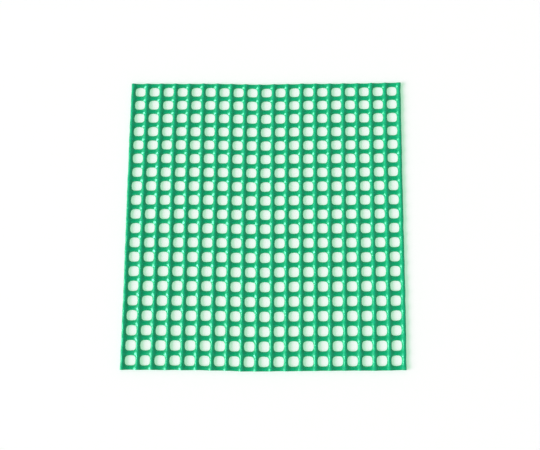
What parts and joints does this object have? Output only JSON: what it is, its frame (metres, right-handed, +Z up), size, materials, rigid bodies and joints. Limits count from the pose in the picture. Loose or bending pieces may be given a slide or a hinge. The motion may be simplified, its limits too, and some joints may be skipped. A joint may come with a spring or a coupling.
{
  "type": "plastic netting sheet",
  "caption": "Flat sheet of extruded square-mesh plastic netting: raised rounded ribs one way, lower cross strands the other, and square apertures with webbed corners.",
  "frame": {"origin": "under the middle of the sheet, on its flat underside", "axes": "+X along the cross strands, +Y along the raised ribs, +Z up through the sheet's thickness"},
  "size_m": [0.1928, 0.2024, 0.0024],
  "materials": {
    "green_plastic": "glossy as extruded, bright green, slightly translucent"
  },
  "bodies": {
    "root": {"netting_sheet": "green_plastic"}
  },
  "joints": []
}
